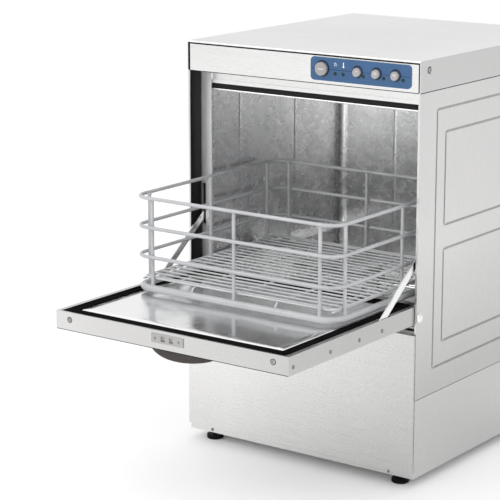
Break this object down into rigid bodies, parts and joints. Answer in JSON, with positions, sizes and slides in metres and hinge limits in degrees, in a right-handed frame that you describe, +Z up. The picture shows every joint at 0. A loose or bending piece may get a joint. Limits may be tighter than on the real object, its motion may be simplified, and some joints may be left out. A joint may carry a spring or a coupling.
{
  "type": "undercounter glasswasher",
  "caption": "Under-counter commercial dishwasher for glasses: steel cabinet, drop-down door held by stays, spray arms and a wire rack drawn out over the door.",
  "frame": {"origin": "on the floor, in the middle of the space that the machine takes with its door open and its rack drawn out", "axes": "+Z up, +Y to the back of the machine, so the front faces -Y, and +X to the right seen from the front"},
  "size_m": [0.466, 0.8802, 0.704],
  "materials": {
    "brushed_casing": "fine brushed stainless sheet",
    "polished_steel": "bright-annealed stainless sheet, near mirror",
    "bright_fasteners": "polished stainless screws and pins",
    "black_plastic": "moulded black plastic",
    "door_rubber": "black rubber",
    "handle_plastic": "dark brown-grey moulded plastic",
    "control_blue": "printed polyester foil, satin",
    "button_grey": "light grey moulded caps",
    "lamp_green": "unlit dark green lenses",
    "rack_coating": "light grey plastic coating on steel wire",
    "brass": "turned brass",
    "copper_pipe": "drawn copper pipe",
    "motor_paint": "dark grey enamel"
  },
  "bodies": {
    "cabinet": {"back_panel": "brushed_casing", "base_frame": "brushed_casing", "boiler_element": "polished_steel", "cabinet_screws": "bright_fasteners", "cable_gland": "black_plastic", "control_box": "black_plastic", "control_panel": "control_blue", "door_catch": "black_plastic", "dosing_pumps": "black_plastic", "drain_pump": "black_plastic", "drain_spigot": "black_plastic", "fascia": "brushed_casing", "front_frame": "polished_steel", "indicator_lamps": "lamp_green", "inlet_valve": "black_plastic", "left_jamb_strip": "polished_steel", "left_rack_guide": "polished_steel", "left_side_panel": "brushed_casing", "levelling_feet": "black_plastic", "lid": "brushed_casing", "lower_arm_post": "polished_steel", "lower_panel": "brushed_casing", "overflow_pipe": "polished_steel", "right_jamb_strip": "polished_steel", "right_rack_guide": "polished_steel", "right_side_panel": "brushed_casing", "rinse_boiler": "polished_steel", "rinse_pipes": "copper_pipe", "sump": "polished_steel", "tank_element": "polished_steel", "tank_filter": "polished_steel", "upper_arm_post": "polished_steel", "wash_chamber": "polished_steel", "wash_hoses": "door_rubber", "wash_pump_motor": "motor_paint", "wash_pump_volute": "black_plastic", "water_inlet": "brass"},
    "door": {"door_outer_panel": "brushed_casing", "door_inner_panel": "polished_steel", "door_gasket": "door_rubber", "latch_plate": "polished_steel", "door_screws": "bright_fasteners", "door_pivot_blocks": "bright_fasteners", "stay_pins": "polished_steel", "door_handle": "handle_plastic"},
    "hinge_pins": {"hinge_pins": "bright_fasteners"},
    "rack": {"rack_ring": "rack_coating", "rack_rims": "rack_coating", "rack_uprights": "rack_coating", "rack_floor": "rack_coating"},
    "door_stays": {"door_stays": "polished_steel"},
    "lower_wash_arm": {"lower_wash_arm": "polished_steel"},
    "lower_rinse_arm": {"lower_rinse_arm": "polished_steel"},
    "upper_wash_arm": {"upper_wash_arm": "polished_steel"},
    "upper_rinse_arm": {"upper_rinse_arm": "polished_steel"},
    "start_button": {"start_button": "button_grey"},
    "drain_button": {"drain_button": "button_grey"},
    "cycle_button": {"cycle_button": "button_grey"},
    "power_button": {"power_button": "button_grey"}
  },
  "joints": [
    {"name": "door_hinge", "type": "hinge", "parent": "cabinet", "child": "door", "pos_m": [0, -0.0779, 0.289], "axis": [-1, 0, 0], "range_deg": [0, 90]},
    {"name": "rack_carry", "type": "hinge", "parent": "cabinet", "child": "hinge_pins", "pos_m": [0, -0.0779, 0.289], "axis": [-1, 0, 0], "range_deg": [0, 180]},
    {"name": "rack_level", "type": "hinge", "parent": "hinge_pins", "child": "rack", "pos_m": [0, -0.1909, 0.289], "axis": [-1, 0, 0], "range_deg": [-180, 0]},
    {"name": "stay_swing", "type": "hinge", "parent": "door", "child": "door_stays", "pos_m": [0, -0.1829, 0.304], "axis": [-1, 0, 0], "range_deg": [-90, 0]},
    {"name": "lower_wash_spin", "type": "hinge", "parent": "cabinet", "child": "lower_wash_arm", "pos_m": [0, 0.1551, 0.273], "axis": [0, 0, 1], "continuous": true},
    {"name": "lower_rinse_spin", "type": "hinge", "parent": "cabinet", "child": "lower_rinse_arm", "pos_m": [0, 0.1551, 0.287], "axis": [0, 0, 1], "continuous": true},
    {"name": "upper_wash_spin", "type": "hinge", "parent": "cabinet", "child": "upper_wash_arm", "pos_m": [0, 0.1551, 0.626], "axis": [0, 0, 1], "continuous": true},
    {"name": "upper_rinse_spin", "type": "hinge", "parent": "cabinet", "child": "upper_rinse_arm", "pos_m": [0, 0.1551, 0.612], "axis": [0, 0, 1], "continuous": true},
    {"name": "start_press", "type": "slide", "parent": "cabinet", "child": "start_button", "axis": [0, 1, 0], "range_m": [0, 0.003], "stiffness_N_per_m": 600},
    {"name": "drain_press", "type": "slide", "parent": "cabinet", "child": "drain_button", "axis": [0, 1, 0], "range_m": [0, 0.003], "stiffness_N_per_m": 600},
    {"name": "cycle_press", "type": "slide", "parent": "cabinet", "child": "cycle_button", "axis": [0, 1, 0], "range_m": [0, 0.003], "stiffness_N_per_m": 600},
    {"name": "power_press", "type": "slide", "parent": "cabinet", "child": "power_button", "axis": [0, 1, 0], "range_m": [0, 0.003], "stiffness_N_per_m": 600}
  ],
  "couplings": [
    {"joint": "rack_carry", "follows": "door_hinge", "ratio": 2},
    {"joint": "rack_level", "follows": "door_hinge", "ratio": -2},
    {"joint": "stay_swing", "follows": "door_hinge", "ratio": -1}
  ]
}
